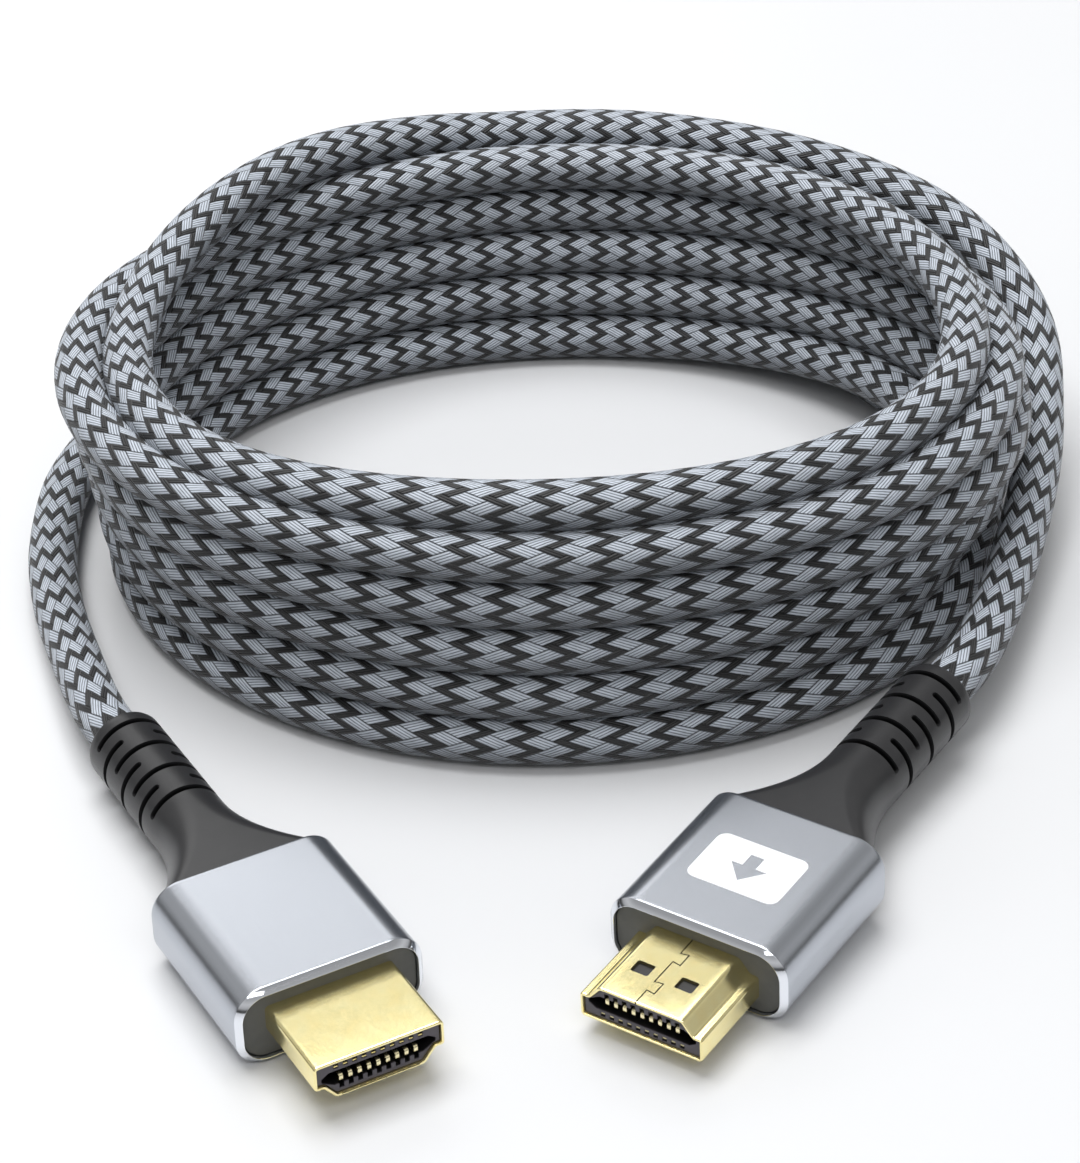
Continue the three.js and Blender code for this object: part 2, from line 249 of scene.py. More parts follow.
def braid_material():
    g = Graph("braid")
    place = g.node("ShaderNodeUVMap", uv_map="braid").outputs[0]
    split = g.node("ShaderNodeSeparateXYZ")
    g.plug(place, split.inputs[0])
    along, around = split.outputs[0], split.outputs[1]
    a = g.math("MULTIPLY", g.math("SUBTRACT", along, around), 2.0)
    b = g.math("MULTIPLY", g.math("ADD", along, around), 2.0)

    def strand(value):
        """Splits a direction into pairs of a wide grey strand and a narrow black one."""
        base = g.math("MULTIPLY", g.math("FLOOR", g.math("MULTIPLY", value, 0.5)), 2.0)
        inside = g.math("SUBTRACT", value, base)
        black = g.math("GREATER_THAN", inside, GREY_SHARE)
        wide = g.math("DIVIDE", inside, GREY_SHARE)
        narrow = g.math("DIVIDE", g.math("SUBTRACT", inside, GREY_SHARE), 2 - GREY_SHARE)
        return base, black, g.pick(black, narrow, wide)

    base_a, black_a, across_a = strand(a)
    base_b, black_b, across_b = strand(b)
    index_a = g.math("ADD", base_a, black_a)
    index_b = g.math("ADD", base_b, black_b)
    turn = g.math("FLOORED_MODULO", g.math("SUBTRACT", index_a, index_b), 4.0)
    second_on_top = g.math("GREATER_THAN", turn, 1.5)

    start_a = g.pick(black_a, base_a, g.math("SUBTRACT", base_a, 2 - GREY_SHARE))
    start_b = g.math("ADD", base_b, g.pick(black_b, 2 + GREY_SHARE, 2.0))
    length_a = g.math("MULTIPLY", g.math("SUBTRACT", b, start_a), 0.5)
    length_b = g.math("MULTIPLY", g.math("SUBTRACT", a, start_b), 0.5)

    black = g.pick(second_on_top, black_b, black_a)
    across = g.pick(second_on_top, across_b, across_a)
    length = g.pick(second_on_top, length_b, length_a)

    swell = g.math("MULTIPLY", g.math("SINE", g.math("MULTIPLY", length, math.pi)), CROSSING_STEEPNESS)
    crown = g.math("POWER", g.math("MINIMUM", g.math("MAXIMUM", swell, 0.001), 1.0), 0.8)
    middle = g.math("ABSOLUTE", g.math("SUBTRACT", g.math("MULTIPLY", across, 2.0), 1.0))
    round_off = g.math("SUBTRACT", 1.0, g.math("POWER", middle, 3.0))
    body = g.math("MULTIPLY", crown, g.math("ADD", 0.75, g.math("MULTIPLY", round_off, 0.25)))
    count = g.pick(black, BLACK_FILAMENTS, GREY_FILAMENTS)
    wave = g.math("SINE", g.math("MULTIPLY", g.math("MULTIPLY", across, count), math.pi))
    filament = g.math("ABSOLUTE", wave)

    # The strands are painted lighter where they crown and along each filament, and darker at their edges, between
    # filaments and where they dive: painted highlight and shade that follow the relief.
    lit = g.math("MULTIPLY", g.math("POWER", filament, 0.8), body)
    grain = g.noise(900, 3.0)
    grey = g.mix_color(g.math("ADD", lit, g.math("MULTIPLY", g.math("SUBTRACT", grain, 0.5), 0.3)),
                       rgb(52, 57, 65), rgb(202, 210, 221))
    dark = g.mix_color(lit, rgb(4, 4, 5), rgb(28, 29, 31))
    color = g.mix_color(black, grey, dark)
    # Painted shade where a strand dives under another at a crossing.
    hollow = g.math("SUBTRACT", 1.0, g.math("MULTIPLY", g.math("SUBTRACT", 1.0, crown), CROSSING_SHADE))
    # The underside is painted darker, for the shade between turns that lie close together.
    upward = g.ramp(g.axes("Normal")[2], *BRAID_SHADE, UNDERSIDE_LEVEL, 1.0)
    shaded = g.node("ShaderNodeMix", data_type="RGBA", blend_type="MULTIPLY")
    shaded.inputs[0].default_value = 1.0
    g.plug(color, shaded.inputs[6])
    g.plug(g.math("MULTIPLY", hollow, upward), shaded.inputs[7])

    height = g.math("ADD", body, g.math("MULTIPLY", filament, FILAMENT_RELIEF))
    g.set(Base_Color=shaded.outputs[2], Roughness=g.pick(black, 0.5, 0.42), Specular_IOR_Level=0.5,
          Normal=g.bump(height, BRAID_RELIEF, 0.9))
    g.shader.inputs["Sheen Weight"].default_value = 0.12
    return g.material


def aluminium_material():
    """Anodised aluminium with fine lines along the extrusion."""
    g = Graph("aluminium")
    drawn = g.noise(1500, 3.0, stretch=(4, 0.05, 4))
    grain = g.noise(9000, 2.0)
    g.set(Base_Color=g.mix_color(drawn, rgb(186, 190, 197), rgb(193, 197, 204)), Metallic=1.0,
          Roughness=g.math("ADD", 0.24, g.math("MULTIPLY", grain, 0.04)), Normal=g.bump(grain, 0.00001, 0.3))
    return g.material


def polished_material():
    g = Graph("polished_edge")
    fine = g.noise(5000, 2.0, stretch=(1, 4, 1))
    g.set(Base_Color=rgb(236, 239, 245), Metallic=1.0, Roughness=g.math("ADD", 0.07, g.math("MULTIPLY", fine, 0.08)))
    return g.material


def gold_material(name, light, deep, rough):
    g = Graph(name)
    cloud = g.noise(700, 3.0)
    fine = g.noise(6000, 2.0, stretch=(1, 0.3, 1))
    g.set(Base_Color=g.mix_color(cloud, rgb(*deep), rgb(*light)), Metallic=1.0,
          Roughness=g.math("ADD", rough, g.math("MULTIPLY", fine, 0.08)), Normal=g.bump(fine, 0.000006, 0.3))
    return g.material


def rubber_material():
    """Satin moulded rubber with a fine grain, with painted shade that makes it darker down in the slots of the
    sleeve.
    """
    g = Graph("rubber")
    x, y, z = g.axes("Object")
    out = g.math("SQRT", g.math("ADD", g.math("MULTIPLY", x, x), g.math("MULTIPLY", z, z)))
    deep = g.ramp(out, SLOT_DARK, SLOT_LIGHT, 1.0, 0.0)
    inside = g.math("MULTIPLY", deep, g.math("GREATER_THAN", y, SLOTS_START))
    cloud = g.noise(500, 3.0)
    grain = g.noise(7000, 3.0)
    skin = g.mix_color(cloud, rgb(35, 35, 37), rgb(44, 44, 45))
    g.set(Base_Color=g.mix_color(inside, skin, rgb(6, 6, 7)),
          Roughness=g.math("ADD", 0.28, g.math("MULTIPLY", grain, 0.12)), Normal=g.bump(grain, 0.00002, 0.4))
    return g.material


def moulded_material(name, light, dark, rough):
    g = Graph(name)
    cloud = g.noise(1200, 3.0)
    grain = g.noise(9000, 2.0)
    g.set(Base_Color=g.mix_color(cloud, rgb(*dark), rgb(*light)),
          Roughness=g.math("ADD", rough, g.math("MULTIPLY", grain, 0.1)), Normal=g.bump(grain, 0.00001, 0.4))
    return g.material


def insulator_material():
    """Moulded insulator, with painted shade close to black inside its slot and holes."""
    g = Graph("insulator")
    grain = g.noise(9000, 2.0)
    inside = g.ramp(g.axes("Object")[1], CARRIER_SKIN, CARRIER_INSIDE, 0.0, 1.0)
    skin = g.mix_color(g.noise(1200, 3.0), rgb(76, 72, 79), rgb(86, 82, 89))
    g.set(Base_Color=g.mix_color(inside, skin, rgb(10, 9, 11)), Roughness=0.5,
          Normal=g.bump(grain, 0.00001, 0.4))
    return g.material


BRAID = braid_material()
ALUMINIUM = aluminium_material()
POLISHED = polished_material()
GOLD = gold_material("gold", (255, 247, 194), (255, 236, 168), 0.18)
CONTACT = gold_material("contacts", (255, 246, 208), (244, 230, 178), 0.22)
RUBBER = rubber_material()
INSULATOR = insulator_material()
PLATE = moulded_material("face_plate", (98, 99, 98), (86, 87, 86), 0.6)
PRINT = moulded_material("print", (240, 241, 244), (230, 232, 236), 0.45)
# Painted shadow for the floor of the shell's seam.
SHADOW = moulded_material("seam_shadow", (46, 34, 14), (30, 22, 9), 0.6)

# Cable.

RIGHT_ROUTE = [
    (-8, 51.4, 26.9), (0, 51.8, 26.8), (10, 50.9, 26.9), (19.5, 48.9, 26.6), (28.7, 46.3, 25.8), (37.7, 43.8, 24),
    (45.8, 38.2, 22.6), (50.7, 33.7, 21.0), (54.4, 28.2, 19.2), (57.0, 22.3, 17.0), (58.3, 15.9, 14.6),
    (57.9, 8.6, 12.2), (57.0, 1.2, 9.9), (55.2, -7, 8.0), (52.4, -16.9, 6.8), (48.4, -29.0, 6.4),
]
LEFT_ROUTE = [
    (-6, 48.9, 2.7), (-20, 46.6, 2.7), (-34, 41.6, 2.7), (-44.5, 35, 2.7), (-52, 26.5, 2.7), (-56.3, 17, 2.7),
    (-58.4, 9, 2.7), (-58.9, 1, 2.7), (-58.7, -6, 2.7), (-57.9, -12.5, 2.7), (-56.3, -20, 2.8),
    (-53.9, -28.5, 3.3),
]
# Where the strand crosses each side of the coil, turn after turn from the top: distance out, height.
FAR_SIDE = [(51.8, 26.8), (46.6, 24.6), (46.4, 18.9), (45.1, 13.5), (43.8, 8.1), (42.4, 2.7), (49.1, 2.7)]
LEFT_SIDE = [(48.2, 27), (53.9, 25.3), (52.3, 19.8), (51.2, 14.2), (50.5, 8.5), (49.7, 2.7)]
NEAR_SIDE = [(40.3, 29.0), (42.9, 24.4), (43.5, 18.9), (44.1, 13.5), (44.8, 8.1), (45.5, 2.7)]
RIGHT_SIDE = [(47.3, 27.5), (51.4, 23.2), (52.5, 17.7), (50.6, 12.4), (47.2, 7.7), (50.0, 2.7)]
# The two uppermost strands change places behind the left far corner: angle along the winding, height.
CROSSING = [(133, 29.8), (493, 24.3)]
COIL_START = 105
COIL_STEP = 15


def blend_between(stations, at):
    """The value at an angle between (angle, value) stations, easing in and out of each."""
    if at <= stations[0][0]:
        return stations[0][1]
    for (low, first), (high, second) in zip(stations, stations[1:]):
        if at <= high:
            t = (at - low) / (high - low)
            return first + (second - first) * t * t * (3 - 2 * t)
    return stations[-1][1]


def coil_points():
    far = [(90 + 360 * k, *v) for k, v in enumerate(FAR_SIDE)]
    left = [(180 + 360 * k, *v) for k, v in enumerate(LEFT_SIDE)]
    near = [(270 + 360 * k, *v) for k, v in enumerate(NEAR_SIDE)]
    right = [(360 + 360 * k, *v) for k, v in enumerate(RIGHT_SIDE)]
    across = sorted((angle, out) for angle, out, _ in left + right)
    deep = sorted((angle, out) for angle, out, _ in far + near)
    rise = sorted([(angle, up) for angle, _, up in far + left + near + right] + CROSSING)
    points = []
    for angle in range(COIL_START, far[-1][0] - 5, COIL_STEP):
        turn = math.radians(angle)
        points.append((blend_between(across, angle) * math.cos(turn), blend_between(deep, angle) * math.sin(turn),
                       blend_between(rise, angle)))
    return points


def lead_ends(matrix, straight):
    """The last points of a lead: in line with its plug, and a little inside the sleeve."""
    local = matrix.copy()
    local.translation -= ORIGIN
    reach = [SLEEVE_END + straight, SLEEVE_END + 0.3, SLEEVE_END - 1.5]
    return [tuple((local @ Vector((0, y * MM, 0))) / MM - Vector((0, 0, CABLE_LIFT))) for y in reach]


def smooth_curve(points, count):
    """A natural cubic spline through the points, resampled at even steps."""
    p = np.array(points, float)
    t = np.concatenate([[0], np.cumsum(np.linalg.norm(np.diff(p, axis=0), axis=1) ** 0.5)])
    h, n = np.diff(t), len(p)
    lhs, rhs = np.eye(n), np.zeros((n, 3))
    for k in range(1, n - 1):
        lhs[k, k - 1:k + 2] = h[k - 1], 2 * (h[k - 1] + h[k]), h[k]
        rhs[k] = 6 * ((p[k + 1] - p[k]) / h[k] - (p[k] - p[k - 1]) / h[k - 1])
    bend = np.linalg.solve(lhs, rhs)
    fine = np.linspace(0, t[-1], 40 * n)
    k = np.clip(np.searchsorted(t, fine, "right") - 1, 0, n - 2)
    u, v, w = (fine - t[k])[:, None], (t[k + 1] - fine)[:, None], h[k][:, None]
    curve = ((bend[k] * v ** 3 + bend[k + 1] * u ** 3) / (6 * w)
             + (p[k] / w - bend[k] * w / 6) * v + (p[k + 1] / w - bend[k + 1] * w / 6) * u)
    s = np.concatenate([[0], np.cumsum(np.linalg.norm(np.diff(curve, axis=0), axis=1))])
    even = np.linspace(0, s[-1], count)
    return np.stack([np.interp(even, s, curve[:, c]) for c in range(3)], axis=1), s[-1]


def add_object(name, mesh, material=None):
    piece = bpy.data.objects.new(name, mesh)
    bpy.context.scene.collection.objects.link(piece)
    if material is not None:
        mesh.materials.append(material)
    return piece


def make_tube(name, curve, radius, sides, repeat, pairs):
    """A closed tube along the curve, with a UV map that runs along its length and round it."""
    count = len(curve)
    tangents = np.gradient(curve, axis=0)
    tangents /= np.linalg.norm(tangents, axis=1)[:, None]
    side = np.cross(tangents[0], (0, 0, 1))
    side /= np.linalg.norm(side)
    angles = np.linspace(0, 2 * math.pi, sides, endpoint=False)
    rings = []
    for k in range(count):
        side = side - tangents[k] * side.dot(tangents[k])
        side /= np.linalg.norm(side)
        up = np.cross(side, tangents[k])
        rings.append(curve[k] + radius * (np.cos(angles)[:, None] * side + np.sin(angles)[:, None] * up))
    verts = np.concatenate(rings)
    steps = np.linalg.norm(np.diff(curve, axis=0), axis=1)
    # The braid is pulled longer on the near side of the coil than on the far side.
    pull = BRAID_PULL[0] - BRAID_PULL[1] * (curve[1:, 1] - ORIGIN[1]) / MM
    along = np.concatenate([[0], np.cumsum(steps / (repeat * pull))])
    faces, uvs = [], []
    for k in range(count - 1):
        for j in range(sides):
            n = (j + 1) % sides
            faces.append((k * sides + j, (k + 1) * sides + j, (k + 1) * sides + n, k * sides + n))
            low, high = along[k], along[k + 1]
            first, second = pairs * j / sides, pairs * (j + 1) / sides
            uvs += [(low, first), (high, first), (high, second), (low, second)]
    for ring, order in ((0, 1), (count - 1, -1)):
        faces.append([ring * sides + j for j in range(sides)][::order])
        uvs += [(0, 0)] * sides
    mesh = bpy.data.meshes.new(name)
    mesh.from_pydata(verts.tolist(), [], faces)
    layer = mesh.uv_layers.new(name="braid")
    layer.data.foreach_set("uv", [c for uv in uvs for c in uv])
    mesh.polygons.foreach_set("use_smooth", [True] * len(mesh.polygons))
    mesh.update()
    return mesh


route = (lead_ends(PLUGS["right"], 1.2 * CABLE_DIAMETER)[::-1] + RIGHT_ROUTE[::-1] + coil_points()
         + LEFT_ROUTE + lead_ends(PLUGS["left"], CABLE_DIAMETER))
cable_curve, cable_length = smooth_curve(route, CABLE_RINGS)
cable_curve = (cable_curve + (0, 0, CABLE_LIFT)) * MM + np.array(ORIGIN)
cable = add_object("cable", make_tube("cable", cable_curve, CABLE_DIAMETER / 2 * MM, CABLE_SIDES,
                                      BRAID_REPEAT * MM, BRAID_PAIRS), BRAID)
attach(cable, "root")
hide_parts("coil", "lead_right", "lead_left")

# Outlines and solids.


def shifted_outline(corners, inset):
    """Moves every side of a counter-clockwise outline inwards."""
    p = np.array(corners, float)
    ahead = np.roll(p, -1, axis=0) - p
    ahead /= np.linalg.norm(ahead, axis=1)[:, None]
    normal = np.stack([-ahead[:, 1], ahead[:, 0]], axis=1)
    before = np.roll(normal, 1, axis=0)
    return p + (normal + before) * inset / (1 + (normal * before).sum(axis=1))[:, None]


def rounded_outline(corners, radii, inset=0.0, steps=8, support=0.25):
    """An outline with rounded corners, and a point on each side of a corner that keeps the flats flat."""
    p = shifted_outline(corners, inset)
    points = []
    for k, corner in enumerate(p):
        back, front = p[k - 1] - corner, p[(k + 1) % len(p)] - corner
        room = min(np.linalg.norm(back), np.linalg.norm(front)) / 2
        back, front = back / np.linalg.norm(back), front / np.linalg.norm(front)
        convex = back[1] * front[0] - back[0] * front[1] > 0
        radius = max(radii[k] - inset if convex else radii[k] + inset, 0.05)
        half = math.acos(np.clip(back @ front, -1, 1)) / 2
        touch = min(radius / math.tan(half), 0.8 * room)
        radius = touch * math.tan(half)
        middle = corner + (back + front) / np.linalg.norm(back + front) * radius / math.sin(half)
        start, end = corner + back * touch - middle, corner + front * touch - middle
        sweep = math.atan2(start[0] * end[1] - start[1] * end[0], start @ end)
        points.append(corner + back * (touch + min(support, 0.5 * (room - touch))))
        for step in range(steps + 1):
            a = sweep * step / steps
            turn = np.array([[math.cos(a), -math.sin(a)], [math.sin(a), math.cos(a)]])
            points.append(middle + turn @ start)
        points.append(corner + front * (touch + min(support, 0.5 * (room - touch))))
    return np.array(points)


def rectangle(width, height):
    x, z = width / 2, height / 2
    return [(-x, -z), (x, -z), (x, z), (-x, z)]


def lofted(name, rings, wrap=False, bands=None):
    """A surface through rings of points in millimetres, closed on itself or with flat ends."""
    count, sides = len(rings), len(rings[0])
    verts = np.concatenate(rings) * MM
    faces, slots = [], []
    for k in range(count if wrap else count - 1):
        n = (k + 1) % count
        for j in range(sides):
            i = (j + 1) % sides
            faces.append((k * sides + j, k * sides + i, n * sides + i, n * sides + j))
            slots.append(bands[k] if bands else 0)
    if not wrap:
        faces += [list(range(sides)), [(count - 1) * sides + j for j in range(sides)]]
        slots += [0, 0]
    mesh = bpy.data.meshes.new(name)
    mesh.from_pydata(verts.tolist(), [], faces)
    mesh.polygons.foreach_set("material_index", slots)
    tidy(mesh)
    return mesh


def tidy(mesh, angle=32):
    """Faces outwards, smooth where the surface is round and crisp where it folds."""
    solid = bmesh.new()
    solid.from_mesh(mesh)
    bmesh.ops.recalc_face_normals(solid, faces=solid.faces)
    solid.to_mesh(mesh)
    solid.free()
    mesh.polygons.foreach_set("use_smooth", [True] * len(mesh.polygons))
    mesh.set_sharp_from_angle(angle=math.radians(angle))
    mesh.update()


def section(outline, y):
    return np.stack([outline[:, 0], np.full(len(outline), float(y)), outline[:, 1]], axis=1)


def upright(outline, z):
    return np.stack([outline[:, 0], outline[:, 1], np.full(len(outline), float(z))], axis=1)


def joined(name, meshes):
    """One mesh from several separate closed ones."""
    whole = bmesh.new()
    for part in meshes:
        whole.from_mesh(part)
    mesh = bpy.data.meshes.new(name)
    whole.to_mesh(mesh)
    whole.free()
    return mesh


def carved(mesh, cutters):
    """The mesh less the cutters."""
    body = add_object("carving", mesh)
    tool = add_object("cutter", joined("cutter", cutters))
    cut = body.modifiers.new("cut", "BOOLEAN")
    cut.operation, cut.solver, cut.object = "DIFFERENCE", "EXACT", tool
    result = bpy.data.meshes.new_from_object(body.evaluated_get(bpy.context.evaluated_depsgraph_get()))
    for extra in (body, tool):
        bpy.data.objects.remove(extra)
    result.name = mesh.name
    tidy(result)
    return result


# Plug pieces.

BODY_RIM = 0.72
PLATE_FACE = 0.45


def housing_mesh():
    corners, radii = rectangle(HOUSING_WIDTH, HOUSING_HEIGHT), [HOUSING_CORNER] * 4
    edge = HOUSING_CHAMFER
    back = HOUSING_LENGTH
    steps = [(back, 0.14), (back - 0.05, 0.04), (back - 0.14, 0), (back - 0.4, 0), (edge + 0.3, 0), (edge, 0),
             (edge - 0.04, 0.015), (0.04, edge - 0.02), (0, edge + 0.03), (0, BODY_RIM - 0.04), (0.04, BODY_RIM),
             (0.3, BODY_RIM + 0.03), (back - 0.1, 0.9), (back, 0.8)]
    # The chamfer and the rim inside it are polished.
    bands = [0] * 6 + [1] * 5 + [0] * 3
    rings = [section(rounded_outline(corners, radii, inset, 14, 0.35), y) for y, inset in steps]
    return lofted("housing", rings, wrap=True, bands=bands)


def plate_mesh():
    corners, radii = rectangle(HOUSING_WIDTH, HOUSING_HEIGHT), [HOUSING_CORNER] * 4
    steps = [(3.5, 0.95), (PLATE_FACE + 0.12, 0.8), (PLATE_FACE + 0.02, 0.84), (PLATE_FACE, 0.94)]
    return lofted("face_plate", [section(rounded_outline(corners, radii, inset, 14), y) for y, inset in steps])


SHELL_CORNERS = [(-SHELL_WIDTH / 2, -SHELL_HEIGHT / 2), (SHELL_WIDTH / 2, -SHELL_HEIGHT / 2),
                 (SHELL_WIDTH / 2, SHELL_SIDE_HEIGHT - SHELL_HEIGHT / 2),
                 (SHELL_WIDTH / 2 - SHELL_STEP, SHELL_SIDE_HEIGHT - SHELL_HEIGHT / 2),
                 (SHELL_NARROW_WIDTH / 2, SHELL_HEIGHT / 2), (-SHELL_NARROW_WIDTH / 2, SHELL_HEIGHT / 2),
                 (SHELL_STEP - SHELL_WIDTH / 2, SHELL_SIDE_HEIGHT - SHELL_HEIGHT / 2),
                 (-SHELL_WIDTH / 2, SHELL_SIDE_HEIGHT - SHELL_HEIGHT / 2)]
SHELL_RADII = [0.5, 0.5, 0.35, 0.5, 0.7, 0.7, 0.5, 0.35]
SHELL_HOLES = {"width": 2.0, "length": 1.7, "spacing": 5.0, "setback": 4.6}
# The seam where the shell's strip meets itself, with its two locking tabs: across, back from the front edge.
SEAM = [(-0.5, -0.5), (-0.5, 2.1), (0.42, 1.95), (0.42, 3.65), (-0.5, 3.5), (-0.5, 6.9), (0.42, 6.75), (0.42, 8.45),
        (-0.5, 8.3), (-0.5, 11.5)]
SEAM_WIDTH = 0.13
SEAM_DEPTH = 0.24
# Half the width about the middle in which a sunken face belongs to the seam.
SEAM_REACH = 0.7


def band_along(points, width):
    """A thin strip of even width along a line of points."""
    p = np.array(points, float)
    ahead = np.diff(p, axis=0)
    ahead /= np.linalg.norm(ahead, axis=1)[:, None]
    normal = np.stack([-ahead[:, 1], ahead[:, 0]], axis=1)
    first = np.concatenate([normal[:1], normal])
    last = np.concatenate([normal, normal[-1:]])
    offset = (first + last) * width / 2 / (1 + (first * last).sum(axis=1))[:, None]
    return np.concatenate([p + offset, (p - offset)[::-1]])


def shell_mesh():
    front = -SHELL_REACH
    steps = [(SHELL_BACK, 0), (front + 0.25, 0), (front + 0.1, 0.02), (front + 0.02, 0.08), (front, 0.14),
             (front, 0.22), (front + 0.03, 0.3), (front + 0.15, SHELL_WALL), (SHELL_BACK, SHELL_WALL)]
    tube = lofted("shell", [section(rounded_outline(SHELL_CORNERS, SHELL_RADII, inset), y) for y, inset in steps],
                  wrap=True)
    cutters = []
    for side in (-1, 1):
        hole = rounded_outline(rectangle(SHELL_HOLES["width"], SHELL_HOLES["length"]), [0.22] * 4, steps=5)
        hole += (side * SHELL_HOLES["spacing"] / 2, SHELL_HOLES["setback"] - SHELL_REACH)
        cutters.append(lofted("hole", [upright(hole, z) for z in (1.2, 3.0)]))
    seam = band_along([(x, y - SHELL_REACH) for x, y in SEAM], SEAM_WIDTH)
    cutters.append(lofted("seam", [upright(seam, z) for z in (SHELL_HEIGHT / 2 - SEAM_DEPTH, 3.0)]))
    shell = carved(tube, cutters)
    # The faces down in the seam take the painted seam shadow.
    top = SHELL_HEIGHT / 2
    for face in shell.polygons:
        x, _, z = face.center / MM
        if abs(x) < SEAM_REACH and top - SEAM_DEPTH - 0.01 < z < top - 0.01:
            face.material_index = 1
    return shell


CARRIER_FRONT = -9.92
SLOT_OUTLINE = [(-6.1, -0.35), (-5.3, -0.85), (5.3, -0.85), (6.1, -0.35), (6.1, 0.1), (4.75, 0.85), (-4.75, 0.85),
                (-6.1, 0.1)]
CONTACT_PITCH = 1.0
TONGUE_SLOT_DEPTH = 7
PORT_SIZE = 0.54
PORT_HEIGHT = -1.37
PORT_DEPTH = 2.5
NOTCH_HEIGHT = 0.97
NOTCH_TALL = 0.9
ROWS = {"broad": 10, "narrow": 9}


def contact_places(count):
    return [(k - (count - 1) / 2) * CONTACT_PITCH for k in range(count)]


def carrier_mesh():
    steps = [(3.0, 0.42), (CARRIER_FRONT + 0.1, 0.4), (CARRIER_FRONT + 0.02, 0.43), (CARRIER_FRONT, 0.5)]
    body = lofted("contact_carrier",
                  [section(rounded_outline(SHELL_CORNERS, SHELL_RADII, inset), y) for y, inset in steps])
    slot = rounded_outline(SLOT_OUTLINE, [0.12] * 8, steps=3)
    cutters = [lofted("slot", [section(slot, y) for y in (CARRIER_FRONT - 1, CARRIER_FRONT + TONGUE_SLOT_DEPTH)])]
    for x in contact_places(ROWS["broad"]):
        port = np.array(rectangle(PORT_SIZE, PORT_SIZE)) + (x, PORT_HEIGHT)
        cutters.append(lofted("port", [section(port, y) for y in (CARRIER_FRONT - 1, CARRIER_FRONT + PORT_DEPTH)]))
    body = carved(body, cutters)
    cutters = []
    for x in contact_places(ROWS["narrow"]):
        notch = np.array(rectangle(PORT_SIZE, NOTCH_TALL)) + (x, NOTCH_HEIGHT)
        cutters.append(lofted("notch", [section(notch, y) for y in (CARRIER_FRONT - 1, CARRIER_FRONT + PORT_DEPTH)]))
    return carved(body, cutters)


# The bent end of a contact, seen from the side: distance behind the shell's front edge, height.
CONTACT_BENDS = {
    "narrow": [(1.3, 0.75), (0.52, 0.64), (0.44, 0.52), (0.44, 0.12), (0.6, -0.04), (1.6, 0.02), (5.6, 0.3)],
    "broad": [(0.9, -1.34), (0.46, -1.32), (0.38, -1.26), (0.42, -1.2), (1.6, -1.16), (2.6, -1.16)],
}
CONTACT_WIDTH = 0.42
CONTACT_THICKNESS = 0.14


def contacts_mesh(row):
    profile = band_along([(y - SHELL_REACH, z) for y, z in CONTACT_BENDS[row]], CONTACT_THICKNESS)
    strips = []
    for x in contact_places(ROWS[row]):
        rings = [np.stack([np.full(len(profile), edge), profile[:, 0], profile[:, 1]], axis=1)
                 for edge in (x - CONTACT_WIDTH / 2, x + CONTACT_WIDTH / 2)]
        strips.append(lofted("contact", rings))
    mesh = joined(f"contacts_{row}", strips)
    tidy(mesh, 50)
    return mesh


def relief_ring(y, half_width, half_height, corner, quarter=26):
    points = []
    for q in range(4):
        for step in range(quarter):
            a = math.pi / 2 * (q + step / (quarter - 1))
            sx, sz = (1, -1, -1, 1)[q], (1, 1, -1, -1)[q]
            points.append((sx * (half_width - corner) + corner * math.cos(a), y,
                           sz * (half_height - corner) + corner * math.sin(a)))
    return np.array(points)


FLARE_HALF_WIDTH = 9.3
FLARE_CORNER = 2.8
SLOT_HALF_ANGLE = 66
SLOT_WIDTH = 0.8
SLOT_PITCH = 2.3
SLOT_RINGS = 7
SLOT_FLOOR = 3.15


def sleeve_slot(y, turn):
    """A cutter for one slot: an arc about the sleeve's axis, with round ends."""
    reach, half = math.radians(SLOT_HALF_ANGLE) * SLEEVE_DIAMETER / 2, SLOT_WIDTH / 2
    ends = [half * (1 - math.cos(a)) for a in np.linspace(0.12, math.pi / 2, 7)]
    places = [-reach + e for e in ends] + list(np.linspace(-reach + half, reach - half, 34))[1:-1]
    places += [reach - e for e in ends[::-1]]
    rings = []
    for s in places:
        past = max(0.0, abs(s) - (reach - half)) / half
        wide = half * math.sqrt(max(1 - past * past, 0.0))
        a = turn + s / (SLEEVE_DIAMETER / 2)
        rings.append(np.array([(r * math.sin(a), y + w, r * math.cos(a))
                               for r, w in ((SLOT_FLOOR, -wide), (5.2, -wide), (5.2, wide), (SLOT_FLOOR, wide))]))
    return lofted("slot", rings)


def relief_mesh():
    radius, end = SLEEVE_DIAMETER / 2, SLEEVE_END
    rings = [relief_ring(NECK_START - 0.28, FLARE_HALF_WIDTH - 0.2, radius - 0.15, FLARE_CORNER - 0.05)]
    for t in np.linspace(0, 1, 26):
        flare = (1 - t) ** 2
        wide = radius + (FLARE_HALF_WIDTH - radius) * flare
        rings.append(relief_ring(NECK_START - 0.2 + (NECK_END - NECK_START + 0.2) * t, wide, radius,
                                 radius + (FLARE_CORNER - radius) * flare))
    rings += [relief_ring(y, radius, radius, radius) for y in np.linspace(NECK_END + 0.6, end - 0.4, 26)]
    rings += [relief_ring(y, r, r, r) for y, r in
              ((end - 0.15, radius - 0.08), (end, radius - 0.3), (end, 3.1), (end - 0.15, 2.9), (end - 1, 2.85))]
    body = lofted("strain_relief", rings)
    cutters = []
    for index in range(SLOT_RINGS):
        y = NECK_END + SLOT_PITCH / 2 + index * SLOT_PITCH
        quarter = 0 if index % 2 == 0 else math.pi / 2
        cutters += [sleeve_slot(y, quarter), sleeve_slot(y, quarter + math.pi)]
    return carved(body, cutters)


BADGE_PLACE = (0.0, 10.2)
BADGE_SIZE = (10.4, 7.6)
BADGE_CORNER = 1.1


